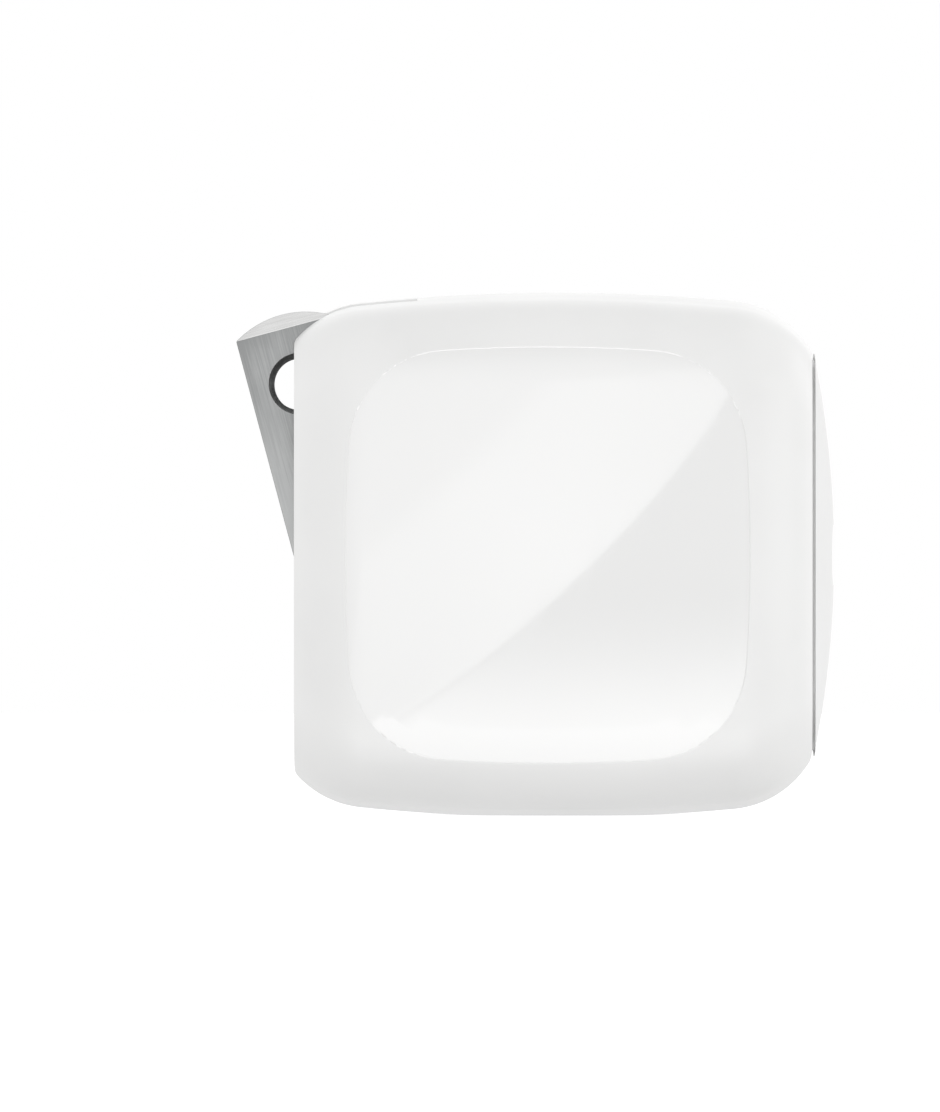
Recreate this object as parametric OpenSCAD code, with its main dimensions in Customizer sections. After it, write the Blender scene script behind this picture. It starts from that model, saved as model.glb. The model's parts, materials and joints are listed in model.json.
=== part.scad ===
// Folding-blade USB wall charger: a moulded case with a domed front cap, two mains blades on
// one hinged rotor, and the converter inside. Millimetres.
// The origin is on the wall face, midway between the blades, on the centre line of the
// unfolded blades. +X runs to the USB port, +Y is across the case and +Z is up.

/* [Case] */
// Width and height of the case where it is widest
case_w = 33.2; // [33:0.1:33.8]
// Length of the case from the wall face to the cap seam
case_len = 32.65; // [32.5:0.05:32.8]
// Height of the case's middle above the unfolded blades' centre line
case_z = 2.75; // [2.6:0.05:2.9]
// Radius of the slight crown on the four long faces
crown_r = 122; // [110:1:140]
// Distance of the crown's highest line from the wall face
crown_x = 16.5; // [15:0.5:18]
// Radius of the rounding at both ends, seen from the side
corner_r = 6.3; // [6:0.1:6.5]
// Distance from the wall face to the centre of the rear rounding
rear_arc_x = 4.8; // [4.6:0.1:5]
// Distance from the wall face to the centre of the front rounding
front_arc_x = 27.2; // [27:0.1:27.4]
// Radius of the four long edges, seen from the front
edge_r = 5.4; // [5:0.1:6]
// Thickness of the wall that faces the outlet
rear_wall = 1.8; // [1.7:0.05:1.9]
// Half width of the main hollow inside
hollow_half = 14.2; // [14:0.1:14.3]
// Half width of the front opening that the cap closes
mouth_half = 12; // [11.9:0.05:12.1]
// Depth of the small flat that the case stands on
foot_cut = 0.15; // [0.1:0.05:0.2]

/* [Front cap] */
// Distance from the wall face to the crown of the cap
cap_apex = 34.15; // [34:0.05:34.3]
// Radius of the cap's dome, seen from the side
dome_r = 64; // [60:1:70]
// Width of the groove between the case and the cap
seam_gap = 0.2; // [0.15:0.05:0.25]
// Half width of the dome at the groove
cap_half = 12.75; // [12.6:0.05:12.9]
// Thickness of the skirt that enters the case
skirt_wall = 1.2; // [1:0.1:1.4]

/* [Blades] */
// Distance between the blades' middle planes
blade_pitch = 12.7; // [12.6:0.1:12.8]
// Thickness of a blade
blade_t = 1.5; // [1.4:0.05:1.6]
// Width of a blade
blade_w = 6.35; // [6.2:0.05:6.5]
// Length of an unfolded blade beyond the wall face
blade_out = 15.9; // [15.5:0.1:16.2]
// Rise of the rounded tip across the blade's width, which is also the bevel's length
tip_rise = 0.9; // [0.7:0.1:1.1]
// Radius of the detent hole in a blade
hole_r = 1.65; // [1.55:0.05:1.7]
// Distance of the detent hole from the wall face
hole_out = 11.4; // [11:0.1:11.8]

/* [Hinge] */
// Distance of the hinge axis behind the wall face
pivot_x = 3.3; // [3.25:0.05:3.35]
// Height of the hinge axis
pivot_z = -0.86; // [-0.9:0.01:-0.8]
// Angle of the blades from unfolded as the part is stored, where 90 is folded away
stored_angle = 75; // [0:1:90]
// Radius of the rotor's journals
journal_r = 1.5; // [1.45:0.01:1.52]
// Running clearance round the journals
journal_clearance = 0.05; // [0.02:0.01:0.08]

/* [USB port] */
// Width of the connector's metal shell
port_w = 8.94; // [8.9:0.01:9]
// Height of the connector's metal shell
port_h = 3.26; // [3.2:0.01:3.3]
// Distance from the wall face to the mouth of the shell
port_mouth = 33.7; // [33.5:0.05:33.8]

/* [Hidden] */
$fn = 48;

case_half = case_w / 2;
far = 30;              // reach of a cutting solid that passes the case

// ---- Case shape -------------------------------------------------------------------------
// Seen from the side, each long face is an arc of crown_r that runs tangent into a corner_r
// arc at both ends. Seen from the front, the section is a crowned square with edge_r corners.
// Every section along X is that square scaled to the height of the side profile.

end_steps = 7;
crown_steps = 6;
edge_steps = 8;
face_steps = 4;
dome_steps = 9;

function arc(centre, r, from, to, n, skip = 0) = [for (i = [skip:n - skip])
    let (a = from + (to - from) * i / n)
    [centre[0] + r * cos(a), centre[1] + r * sin(a)]];

function end_arc_h(x) = case_half - crown_r
    + sqrt(pow(crown_r - corner_r, 2) - pow(x - crown_x, 2));
function join_angle(x) = atan2(end_arc_h(x) + crown_r - case_half, x - crown_x);

side_profile = concat(
    arc([rear_arc_x, end_arc_h(rear_arc_x)], corner_r,
        acos(-rear_arc_x / corner_r), join_angle(rear_arc_x), end_steps),
    arc([crown_x, case_half - crown_r], crown_r,
        join_angle(rear_arc_x), join_angle(front_arc_x), crown_steps, 1),
    arc([front_arc_x, end_arc_h(front_arc_x)], corner_r,
        join_angle(front_arc_x), acos((case_len - front_arc_x) / corner_r), end_steps));

edge_c = (case_half - crown_r
    + sqrt(2 * pow(crown_r - edge_r, 2) - pow(crown_r - case_half, 2))) / 2;
edge_a = atan2(edge_c, edge_c + crown_r - case_half);
quarter = concat(
    arc([case_half - crown_r, 0], crown_r, -edge_a, edge_a, face_steps, 1),
    arc([edge_c, edge_c], edge_r, edge_a, 90 - edge_a, edge_steps));
section = [for (q = [0:3]) for (p = quarter)
    [p[0] * cos(90 * q) - p[1] * sin(90 * q), p[0] * sin(90 * q) + p[1] * cos(90 * q)] / case_half];

// A closed skin over rings of points, each with one point for every point of the section
module skin(ring_list) {
    n = len(section);
    rings = len(ring_list);
    polyhedron(
        points = [for (ring = ring_list) for (p = ring) p + [0, 0, case_z]],
        faces = concat(
            [[for (j = [0:n - 1]) j]],
            [for (i = [0:rings - 2]) for (j = [0:n - 1]) let (k = (j + 1) % n)
                [i * n + j, (i + 1) * n + j, (i + 1) * n + k, i * n + k]],
            [[for (j = [n - 1:-1:0]) (rings - 1) * n + j]]));
}

module along_x(x0, x1) {
    translate([x0, 0, 0]) rotate([90, 0, 90]) linear_extrude(x1 - x0) children();
}

module along_y(y0, y1) {
    translate([0, y1, 0]) rotate([90, 0, 0]) linear_extrude(y1 - y0) children();
}

module box(low, high) {
    translate(low) cube(high - low);
}

module rod_x(r, x0, x1, y, z) {
    translate([x0, y, z]) rotate([0, 90, 0]) cylinder(r = r, h = x1 - x0);
}

module rod_y(r, y0, y1, x, z) {
    translate([x, y1, z]) rotate([90, 0, 0]) cylinder(r = r, h = y1 - y0);
}

module both_sides() {
    children();
    mirror([0, 1, 0]) children();
}

module case_prism(x0, x1, half) {
    translate([0, 0, case_z]) along_x(x0, x1) polygon(section * half);
}

// ---- Hinge layout -----------------------------------------------------------------------
blade_y = blade_pitch / 2;
line_z = -pivot_z;             // blade centre line above the hinge axis
tip_x = -(pivot_x + blade_out);
tip_r = (pow(blade_w / 2, 2) + pow(tip_rise, 2)) / (2 * tip_rise);
hub_w = 3.6;                   // width of a rotor hub round one blade
hub_r = 3.1;
hub_front = 3;                 // hub's flat front, from the axis
hub_back = 0.5;
hub_top = 4.7;
hub_round = 0.8;
shank_end = -0.5;              // where the full-width blade ends inside the hub
tail_end = 5.2;                // tail that meets the contact spring
tail_half = 0.8;
barrel_r = 1.6;
barrel_end = 4.6;
journal_end = 10.5;
cam_flat = 1.65;
cam_r = 1.9;
cam_half = 1.8;
slot_half = 1.15;              // half width of a blade slot in the case
slot_depth = 7.6;
slot_bottom = -3.5;
hub_slot_half = 2.1;
hub_slot_bottom = -4.2;
pocket_z = 4.9;                // the slots have side walls above this height
pocket_wall = 1;
cradle_in = 8.7;
cradle_out = 10.4;
cradle_half = 2.6;
cradle_gap = 0.05;             // half the gap between case cradle and retainer saddle
relief_x = 1.3;
retainer_x = 9.3;
retainer_t = 1;
boss_y = 10.2;
boss_z = -5.8;
boss_r = 1.6;
pilot_r = 0.75;
pilot_x = 4;                   // bottom of a screw's pilot hole

module hinge_pose() {
    translate([pivot_x, 0, pivot_z]) rotate([0, stored_angle, 0]) children();
}

// ---- Board layout -----------------------------------------------------------------------
board_x0 = 11.2;
board_x1 = 25.4;
board_half = 11.6;
board_t = 1;
board_top = -7.9;
output_t = 1;
output_top = 14;
output_front = board_x1 + output_t;

// ---- Case -------------------------------------------------------------------------------
module hollow() {
    front_step = 27.5;
    rear_step = 4.3;
    rear_half = 12.6;
    relief_half = 11;
    relief_low = -3.2;
    relief_high = 1.6;
    case_prism(rear_wall, rear_step, rear_half);
    case_prism(rear_step - 0.1, front_step, hollow_half);
    case_prism(front_step - 0.1, case_len + 1, mouth_half);
    box([relief_x, -relief_half, relief_low], [rear_wall + 0.1, relief_half, relief_high]);
}

// What is left standing in the hollow: slot walls, hinge cradles, screw bosses, board ribs
module inner_walls() {
    rib_in = 8;
    rib_out = 9;
    both_sides() {
        box([0, blade_y - slot_half - pocket_wall, pocket_z],
            [slot_depth + pocket_wall, blade_y + slot_half + pocket_wall, far]);
        box([0, cradle_in, pivot_z - cradle_half],
            [pivot_x - cradle_gap, cradle_out, pivot_z + cradle_half]);
        rod_x(boss_r, 0, retainer_x, boss_y, boss_z);
        box([board_x0, rib_in, -far], [board_x1 - 2, rib_out, board_top - board_t]);
    }
}

module housing() {
    color("white") difference() {
        skin([for (p = side_profile) [for (s = section) [p[0], s[0] * p[1], s[1] * p[1]]]]);
        difference() {
            hollow();
            inner_walls();
        }
        both_sides() {
            box([-1, blade_y - slot_half, slot_bottom], [slot_depth, blade_y + slot_half, far]);
            box([-1, blade_y - hub_slot_half, hub_slot_bottom],
                [rear_wall + 0.1, blade_y + hub_slot_half, pocket_z]);
            rod_x(pilot_r, pilot_x, retainer_x + 1, boss_y, boss_z);
        }
        rod_y(journal_r + journal_clearance, -journal_end - 0.2, journal_end + 0.2,
            pivot_x, pivot_z);
        box([-far, -far, -far], [2 * far, far, case_z - case_half + foot_cut]);
    }
}

// ---- Front cap --------------------------------------------------------------------------
module port_outline(grow) {
    h = port_h + 2 * grow;
    w = port_w + 2 * grow;
    square([w - h, h], center = true);
    for (s = [-1, 1]) translate([s * (w - h) / 2, 0]) circle(d = h);
}

// The dome is a part sphere in the middle, and its level lines grow into the section's crowned
// square towards the groove, so that the groove lies in one plane.
function dome_x(s, h) = let (rim = pow(h / cap_half, 2), round_h = norm(s) * h)
    cap_apex - dome_r + sqrt(pow(dome_r, 2) - rim * pow(h, 2) - (1 - rim) * pow(round_h, 2));

module front_cap() {
    dome_half = [for (i = [0:dome_steps]) cap_half * (1 - 0.95 * pow(i / dome_steps, 1.3))];
    skirt_half = mouth_half - 0.1;
    skirt_x = 29;
    groove_half = 12.35;
    inner_face = 32.6;
    port_clearance = 0.12;
    color("white") difference() {
        union() {
            skin([for (h = dome_half) [for (s = section) [dome_x(s, h), s[0] * h, s[1] * h]]]);
            case_prism(case_len, case_len + seam_gap + 0.05, groove_half);
            case_prism(skirt_x, case_len + 0.05, skirt_half);
        }
        case_prism(skirt_x - 1, inner_face, skirt_half - skirt_wall);
        translate([0, 0, case_z]) along_x(inner_face - 1, cap_apex + 1)
            port_outline(port_clearance);
    }
}

// ---- Blades and rotor -------------------------------------------------------------------
module blade_outline() {
    translate([tip_x + tip_rise, line_z - blade_w / 2])
        square([shank_end - tip_x - tip_rise, blade_w]);
    intersection() {
        translate([tip_x + tip_r, line_z]) circle(r = tip_r);
        translate([tip_x, line_z - blade_w / 2]) square([tip_rise, blade_w]);
    }
    translate([shank_end, -tail_half]) square([tail_end - shank_end, 2 * tail_half]);
}

module blade(y) {
    tip_half_t = 0.4;
    chamfer = 0.3;
    half_t = blade_t / 2;
    hinge_pose() translate([0, y, 0]) difference() {
        intersection() {
            along_y(-half_t, half_t) blade_outline();
            translate([0, 0, -far]) linear_extrude(2 * far) polygon([
                [tip_x, -tip_half_t], [tip_x + tip_rise, -half_t], [tail_end, -half_t],
                [tail_end, half_t], [tip_x + tip_rise, half_t], [tip_x, tip_half_t]]);
        }
        translate([-(pivot_x + hole_out), 0, line_z]) rotate([90, 0, 0]) {
            cylinder(r = hole_r, h = 2 * blade_t, center = true);
            for (s = [0, 180]) rotate([s, 0, 0]) translate([0, 0, half_t - chamfer])
                cylinder(r1 = hole_r, r2 = hole_r + 2 * chamfer, h = 2 * chamfer);
        }
    }
}

module blade_left() {
    color("silver") blade(blade_y);
}

module blade_right() {
    color("silver") blade(-blade_y);
}

module hub_outline() {
    circle(r = hub_r);
    for (x = [-hub_front + hub_round, hub_back - hub_round])
        translate([x, hub_top - hub_round]) circle(r = hub_round);
    translate([-hub_front, 0]) square([hub_front + hub_back, hub_top - hub_round]);
    translate([-hub_front + hub_round, 0])
        square([hub_front + hub_back - 2 * hub_round, hub_top]);
}

module prong_rotor() {
    color("gainsboro") hinge_pose() difference() {
        union() {
            both_sides() translate([0, blade_y, 0])
                along_y(-hub_w / 2, hub_w / 2) hub_outline();
            rod_y(journal_r, -journal_end, journal_end, 0, 0);
            rod_y(barrel_r, -barrel_end, barrel_end, 0, 0);
            intersection() {
                rod_y(cam_r, -cam_half, cam_half, 0, 0);
                cube([2 * cam_flat, 2 * cam_half, 2 * cam_flat], center = true);
            }
        }
        both_sides() translate([0, blade_y, 0])
            along_y(-blade_t / 2, blade_t / 2) blade_outline();
    }
}

// ---- Hinge retainer and springs ---------------------------------------------------------
detent_t = 0.2;
detent_x = pivot_x + cam_r + 0.05;
detent_half_z = 3.1;
contact_t = 0.3;
contact_x = pivot_x + tail_end + 0.1;

module hinge_retainer() {
    plate_low = -7.2;
    plate_high = 5.6;
    saddle_half = 1.9;
    post_z = 1.9;
    screw_hole_r = 0.95;
    color("dimgray") difference() {
        union() {
            box([retainer_x, -board_half, plate_low],
                [retainer_x + retainer_t, board_half, plate_high]);
            both_sides() box([pivot_x + cradle_gap, cradle_in, pivot_z - saddle_half],
                [retainer_x + 0.1, cradle_out, pivot_z + saddle_half]);
            for (s = [0, 1]) translate([0, 0, pivot_z]) mirror([0, 0, s])
                box([detent_x + detent_t, -cam_half, post_z],
                    [retainer_x + 0.1, cam_half, detent_half_z]);
        }
        rod_y(journal_r + journal_clearance, -far, far, pivot_x, pivot_z);
        both_sides() rod_x(screw_hole_r, retainer_x - 1, retainer_x + 2, boss_y, boss_z);
    }
}

module retainer_screws() {
    shank_r = 0.7;
    head_r = 1.35;
    head_t = 0.75;
    head_x = retainer_x + retainer_t;
    shank_x = pilot_x + 0.3;
    cross = [0.7, 0.35, 1.5];
    color("silver") both_sides() difference() {
        union() {
            rod_x(shank_r, shank_x, head_x + 0.1, boss_y, boss_z);
            rod_x(head_r, head_x, head_x + head_t, boss_y, boss_z);
        }
        for (a = [0, 90]) translate([head_x + head_t, boss_y, boss_z]) rotate([a, 0, 0])
            cube(cross, center = true);
    }
}

module detent_spring() {
    half = cam_half - 0.1;
    color("lightsteelblue") box([detent_x, -half, pivot_z - detent_half_z],
        [detent_x + detent_t, half, pivot_z + detent_half_z]);
}

module contact_spring(y) {
    half = 1;
    top_z = 0.6;
    foot_x = 12.2;
    box([contact_x, y - half, board_top], [contact_x + contact_t, y + half, top_z]);
    box([contact_x, y - half, board_top], [foot_x, y + half, board_top + contact_t]);
}

module contact_spring_left() {
    color("peru") contact_spring(blade_y);
}

module contact_spring_right() {
    color("peru") contact_spring(-blade_y);
}

// ---- Boards and port --------------------------------------------------------------------
module main_pcb() {
    color("darkgreen") box([board_x0, -board_half, board_top - board_t],
        [board_x1, board_half, board_top]);
}

module output_pcb() {
    half = 11.4;
    color("darkgreen") box([board_x1, -half, board_top - board_t],
        [output_front, half, output_top]);
}

shell_wall = 0.3;
shell_back = 0.6;
tongue_half = 3.35;
tongue_t = 0.7;
tongue_end = 33;

module usb_shell() {
    color("silver") translate([0, 0, case_z]) difference() {
        along_x(output_front, port_mouth) port_outline(0);
        along_x(output_front + shell_back, port_mouth + 1) port_outline(-shell_wall);
    }
}

module usb_tongue() {
    base_end = 28.4;
    color("black") translate([0, 0, case_z]) {
        along_x(output_front + shell_back, base_end) port_outline(-shell_wall);
        box([base_end, -tongue_half, -tongue_t / 2], [tongue_end, tongue_half, tongue_t / 2]);
    }
}

module usb_contacts() {
    count = 12;
    pitch = 0.5;
    w = 0.25;
    t = 0.06;
    x0 = 29.2;
    x1 = 32.6;
    color("gold") translate([0, 0, case_z])
        for (s = [0, 1]) mirror([0, 0, s]) for (i = [0:count - 1])
            translate([x0, (i - (count - 1) / 2) * pitch - w / 2, tongue_t / 2])
            cube([x1 - x0, w, t]);
}

// ---- Transformer ------------------------------------------------------------------------
core_x = 17.6;
core_y = -5.6;
core_z = -1.2;
core_w = 12;
core_d = 6;
core_h = 12;
core_back = 1.8;
centre_leg = 3.4;
flange_w = 8.4;
flange_d = 11;
flange_t = 0.8;
bobbin_gap = 0.1;
bobbin_wall = 0.5;
window_half = core_h / 2 - core_back;

module rounded(w, d, r) {
    square([w - 2 * r, d], center = true);
    square([w, d - 2 * r], center = true);
    for (x = [-1, 1]) for (y = [-1, 1])
        translate([x * (w / 2 - r), y * (d / 2 - r)]) circle(r = r);
}

module at_core() {
    translate([core_x, core_y, core_z]) children();
}

module core_half(s) {
    color("dimgray") at_core() mirror([0, 0, s])
        translate([0, 0, -core_h / 2]) difference() {
            translate([-core_w / 2, -core_d / 2, 0]) cube([core_w, core_d, core_h / 2]);
            for (x = [-1, 1]) translate([x * (centre_leg + core_w) / 4 - x * core_back / 2,
                0, core_back + core_h / 2])
                cube([(core_w - centre_leg) / 2 - core_back, core_d + 1, core_h], center = true);
        }
}

module transformer_core_lower() {
    core_half(0);
}

module transformer_core_upper() {
    core_half(1);
}

module bobbin_bore(grow) {
    square([centre_leg + 2 * grow, core_d + 2 * grow], center = true);
}

module transformer_bobbin() {
    color("saddlebrown") at_core() difference() {
        union() {
            translate([0, 0, -window_half]) linear_extrude(2 * window_half)
                bobbin_bore(bobbin_gap + bobbin_wall);
            for (s = [0, 1]) mirror([0, 0, s]) translate([0, 0, window_half - flange_t])
                linear_extrude(flange_t) rounded(flange_w, flange_d, 0.6);
        }
        translate([0, 0, -core_h]) linear_extrude(2 * core_h) bobbin_bore(bobbin_gap);
    }
}

module transformer_winding() {
    color("darkorange") at_core() translate([0, 0, flange_t - window_half])
        linear_extrude(2 * (window_half - flange_t)) difference() {
            rounded(flange_w - 0.3, flange_d - 0.3, 1.6);
            bobbin_bore(bobbin_gap + bobbin_wall);
        }
}

module transformer_tape() {
    tape_t = 0.15;
    tape_half = 2.2;
    color("gold") at_core() along_y(-tape_half, tape_half) difference() {
        rounded(core_w + 2 * tape_t, core_h + 2 * tape_t, 0.1);
        square([core_w, core_h], center = true);
    }
}

module transformer_pins() {
    pin_r = 0.3;
    pin_pitch = 2;
    pin_y = flange_d / 2 - 0.6;
    color("silver") for (s = [-1, 1]) for (i = [-1:1])
        translate([core_x + i * pin_pitch, core_y + s * pin_y, board_top])
        cylinder(r = pin_r, h = core_z - window_half - board_top);
}

// ---- Capacitors -------------------------------------------------------------------------
can_x0 = 11.8;
can_len = 11.6;

// An aluminium can in its sleeve: rubber-sealed end at 0, rolled groove, scored vent at h
module can(r, h) {
    groove = 0.35;
    lip = 0.25;
    score = 0.3;
    difference() {
        rotate_extrude() polygon([[0, 0], [r - lip, 0], [r, lip], [r, 1.3],
            [r - groove, 1.6], [r - groove, 1.9], [r, 2.2], [r, h - lip], [r - lip, h],
            [0, h]]);
        for (a = [0, 90]) translate([0, 0, h]) rotate([0, 0, a])
            cube([r * 1.1, score, score], center = true);
    }
}

module bulk_capacitor(y, z) {
    r = 4;
    color("midnightblue") translate([can_x0, y, z]) rotate([0, 90, 0]) can(r, can_len);
}

module bulk_capacitor_1() {
    bulk_capacitor(-7.6, 9.3);
}

module bulk_capacitor_2() {
    bulk_capacitor(0.9, 10.4);
}

module output_capacitor() {
    color("lightgray") translate([19.9, 8.4, board_top]) can(3.15, 11.5);
}

module x_capacitor() {
    lead_r = 0.3;
    leads = [[16.2, 7], [22.65, 10.65]];
    body_z = 4.4;
    body_h = 9.2;
    color("gold") {
        translate([17.5, 8.5, body_z]) linear_extrude(body_h) rounded(11, 5, 0.5);
        for (place = leads) translate([place[0], place[1], board_top])
            cylinder(r = lead_r, h = body_z + 0.1 - board_top);
    }
}

module y_capacitor() {
    disc_r = 2.9;
    disc_half = 1.1;
    disc_x = 14.7;
    disc_y = 2.4;
    disc_z = -1;
    lead_r = 0.25;
    lead_half = 2.5;
    color("royalblue") {
        translate([disc_x, disc_y, disc_z]) rotate([90, 0, 0]) rotate_extrude() polygon([
            [0, -disc_half], [disc_r - 0.6, -disc_half], [disc_r, -disc_half + 0.5],
            [disc_r, disc_half - 0.5], [disc_r - 0.6, disc_half], [0, disc_half]]);
        for (s = [-1, 1]) translate([disc_x + s * lead_half, disc_y, board_top])
            cylinder(r = lead_r, h = disc_z - board_top);
    }
}

module fuse() {
    color("saddlebrown") translate([21.6, 2.4, board_top]) rotate_extrude()
        polygon([[0, 0], [1.9, 0], [1.9, 4.9], [1.5, 5.3], [0, 5.3]]);
}

// ---- Common mode choke ------------------------------------------------------------------
choke_r = 3.4;
choke_bore = 1.6;
choke_half = 1.6;

module at_choke() {
    translate([13.4, 8, -3.7]) rotate([0, 90, 0]) children();
}

module choke_core() {
    color("darkslategray") at_choke() difference() {
        cylinder(r = choke_r, h = 2 * choke_half, center = true);
        cylinder(r = choke_bore, h = 3 * choke_half, center = true);
    }
}

module choke_windings() {
    wire = 0.4;
    turns = 5;
    turn_step = 26;
    band = choke_r - choke_bore;
    color("chocolate") at_choke() for (s = [0, 180]) for (i = [0:turns - 1])
        rotate([0, 0, s + (i - (turns - 1) / 2) * turn_step])
        translate([choke_bore + band / 2, 0, 0]) difference() {
            cube([band + 2 * wire, wire, 2 * (choke_half + wire)], center = true);
            cube([band, 2 * wire, 2 * choke_half], center = true);
        }
}

// ---- Semiconductors and small parts -----------------------------------------------------
module chip(low, size) {
    color("black") box(low, low + size);
}

module bridge_rectifier() {
    chip([13, -4, board_top - board_t - 1.2], [5, 4.4, 1.2]);
}

module power_switch() {
    chip([13, 0.5, board_top], [3.4, 3.8, 1.4]);
}

module sync_rectifier() {
    chip([board_x1 - 1, 2.5, -4], [1, 6, 5]);
}

module pd_controller() {
    chip([board_x1 - 0.9, -6.5, -3], [0.9, 4, 4]);
}

module optocoupler() {
    chip([output_front, -2.3, -7.2], [2, 4.6, 3.6]);
}

module smd_passives() {
    part = [1.6, 0.8, 0.6];
    step = 2.4;
    color("tan") {
        for (i = [0:3]) translate([14 + i * step, 3.4, board_top - board_t - part[2]])
            cube(part);
        for (i = [0:4]) translate([board_x1 - part[2], -8 + i * step, 6])
            cube([part[2], part[0], part[1]]);
        for (i = [0:3]) translate([output_front, 5 + i * 1.4, -5])
            cube([part[2], part[1], part[0]]);
    }
}

// ---- Heat path and insulation -----------------------------------------------------------
spreader_y = -12.3;
spreader_t = 0.5;

module heat_spreader() {
    end_x = 23.6;
    low_z = -6;
    high_z = 12.6;
    color("silver") box([can_x0, spreader_y, low_z],
        [end_x, spreader_y + spreader_t, high_z]);
}

module thermal_pad() {
    half = 4.5;
    low_z = -4.6;
    high_z = 2.2;
    color("lightsteelblue") box([core_x - 0.1 - half, spreader_y + spreader_t, low_z],
        [core_x - 0.1 + half, core_y - flange_d / 2, high_z]);
}

module insulation_sheet() {
    sheet_x = 23.9;
    sheet_t = 0.2;
    color("lightyellow") box([sheet_x, -board_half, board_top],
        [sheet_x + sheet_t, board_half, output_top]);
}

housing();
front_cap();
prong_rotor();
blade_left();
blade_right();
hinge_retainer();
retainer_screws();
detent_spring();
contact_spring_left();
contact_spring_right();
main_pcb();
output_pcb();
usb_shell();
usb_tongue();
usb_contacts();
transformer_core_lower();
transformer_core_upper();
transformer_bobbin();
transformer_winding();
transformer_tape();
transformer_pins();
bulk_capacitor_1();
bulk_capacitor_2();
output_capacitor();
choke_core();
choke_windings();
x_capacitor();
y_capacitor();
fuse();
bridge_rectifier();
power_switch();
sync_rectifier();
optocoupler();
pd_controller();
smd_passives();
heat_spreader();
thermal_pad();
insulation_sheet();
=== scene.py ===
"""USB wall charger with folding blades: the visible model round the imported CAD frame.

Lengths in this script are millimetres in the CAD frame, and MM turns them into metres where a
mesh is made. +X runs from the wall face to the USB port, +Y across the case and +Z up.
"""
import json
import math

import bmesh
import bpy
from mathutils import Matrix, Vector


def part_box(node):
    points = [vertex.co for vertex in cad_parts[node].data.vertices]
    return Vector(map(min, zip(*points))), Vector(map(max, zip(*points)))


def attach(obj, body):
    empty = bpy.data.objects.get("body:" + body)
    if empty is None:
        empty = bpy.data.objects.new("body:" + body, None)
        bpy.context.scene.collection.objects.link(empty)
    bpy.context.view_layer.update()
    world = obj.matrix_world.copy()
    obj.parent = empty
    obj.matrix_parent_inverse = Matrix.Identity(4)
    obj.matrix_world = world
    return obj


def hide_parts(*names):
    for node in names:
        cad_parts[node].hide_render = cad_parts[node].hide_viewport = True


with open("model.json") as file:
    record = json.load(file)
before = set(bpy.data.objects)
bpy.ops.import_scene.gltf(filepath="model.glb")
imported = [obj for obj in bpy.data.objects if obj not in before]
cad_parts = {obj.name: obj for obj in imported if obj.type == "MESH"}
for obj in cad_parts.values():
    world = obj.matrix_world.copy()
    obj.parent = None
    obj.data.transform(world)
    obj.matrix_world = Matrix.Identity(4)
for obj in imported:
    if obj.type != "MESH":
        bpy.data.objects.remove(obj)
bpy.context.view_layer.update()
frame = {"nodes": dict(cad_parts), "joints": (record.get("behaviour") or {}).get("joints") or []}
MM = 0.001

# ---- Sizes, worked out from the frame -------------------------------------------------------


def node_box(*nodes):
    """The lowest and highest corners, in mm, of the box round some CAD nodes at rest."""
    corners = [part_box(node) for node in nodes]
    low = [min(c[0][i] for c in corners) / MM for i in range(3)]
    high = [max(c[1][i] for c in corners) / MM for i in range(3)]
    return low, high


HINGE = frame["joints"][0]
PIVOT_X, _, PIVOT_Z = (value / MM for value in HINGE["pos_m"])
STORED_ANGLE = -math.radians(HINGE["range_deg"][0])  # from unfolded to the stored place

case_low, case_high = node_box("housing")
CASE_LEN = case_high[0]
CASE_HALF = (case_high[1] - case_low[1]) / 2
CASE_Z = case_high[2] - CASE_HALF
FOOT_Z = case_low[2]
CROWN_R = 122.0  # the slight crown of the long faces
CROWN_X = 16.5
CORNER_R = 6.3  # end roundings, seen from the side
REAR_ARC_X = 4.8
FRONT_ARC_X = 27.2
EDGE_R = 5.4  # long edges, seen from the front
REAR_WALL = 1.8
HOLLOW_HALF = 14.2
MOUTH_HALF = 12.0

cap_low, cap_high = node_box("front_cap")
CAP_APEX = cap_high[0]
CAP_HALF = (cap_high[1] - cap_low[1]) / 2
CAP_BACK = cap_low[0]
DOME_R = 64.0
SEAM_GAP = 0.2
GROOVE_HALF = 12.35
SKIRT_WALL = 1.2
CAP_FACE = 32.6  # the inside of the cap's front

blade_low, blade_high = node_box("blade_left")
BLADE_Y = (blade_low[1] + blade_high[1]) / 2
BLADE_T = blade_high[1] - blade_low[1]
BLADE_W = 6.35
BLADE_OUT = 15.9
TIP_RISE = 0.9
HOLE_R = 1.65
HOLE_OUT = 11.4
LINE_Z = -PIVOT_Z  # the blade's centre line above the hinge axis
TIP_X = -(PIVOT_X + BLADE_OUT)

SLOT_HALF = 1.15
SLOT_DEPTH = 7.6
SLOT_BOTTOM = -3.5
HUB_SLOT_HALF = 2.1
HUB_SLOT_BOTTOM = -4.2
POCKET_Z = 4.9
POCKET_WALL = 1.0
BOSS_Y, BOSS_Z = 10.2, -5.8  # the two screw bosses of the hinge retainer
BOSS_R, BOSS_END = 1.6, 9.3
JOURNAL_R = 1.5
CRADLE_HALF = 2.6
SLOT_CHAMFER = 0.16
END_CHAMFER = 0.1
FAR = 30.0

PANEL_X = 15.95  # polished field on each side face
PANEL_HALF_X = 12.7
PANEL_HALF_Z = 13.05
PANEL_EDGE_R = 6.4
PANEL_CROWN = 8.0  # radius of its bowed sides, in half heights
PANEL_DEPTH = 0.05
PANEL_CHAMFER = 0.08

port_low, port_high = node_box("usb_shell")
PORT_MOUTH = port_high[0]
PORT_BACK = port_low[0]
PORT_W = port_high[1] - port_low[1]
PORT_H = port_high[2] - port_low[2]
PORT_CLEARANCE = 0.12

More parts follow.
